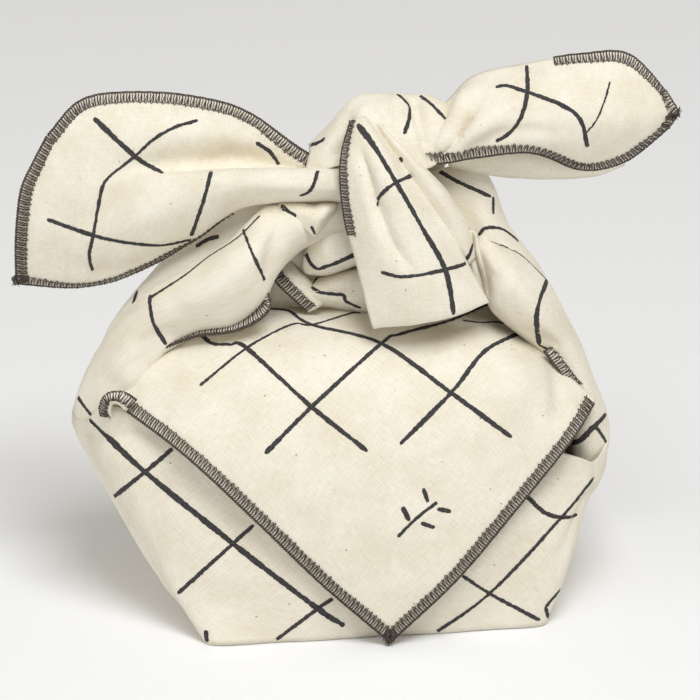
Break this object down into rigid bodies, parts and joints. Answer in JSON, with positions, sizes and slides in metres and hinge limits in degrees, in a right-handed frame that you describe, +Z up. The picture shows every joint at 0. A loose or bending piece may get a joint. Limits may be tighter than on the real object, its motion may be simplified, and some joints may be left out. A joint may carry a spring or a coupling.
{
  "type": "furoshiki wrap",
  "caption": "Square cotton wrapping cloth tied as a bundle, with a hanging corner in front and a knot with free ends on top.",
  "frame": {"origin": "middle of the flat base, on the surface that the bundle stands on", "axes": "+Z up, -Y towards the front with the hanging corner, +X to the right seen from the front"},
  "size_m": [0.2855, 0.1283, 0.2495],
  "materials": {
    "cotton": "matte plain weave with brushed black lines",
    "line_ink": "matte",
    "overlock_thread": "matte thread"
  },
  "bodies": {
    "root": {"cloth": "cotton"}
  },
  "joints": []
}
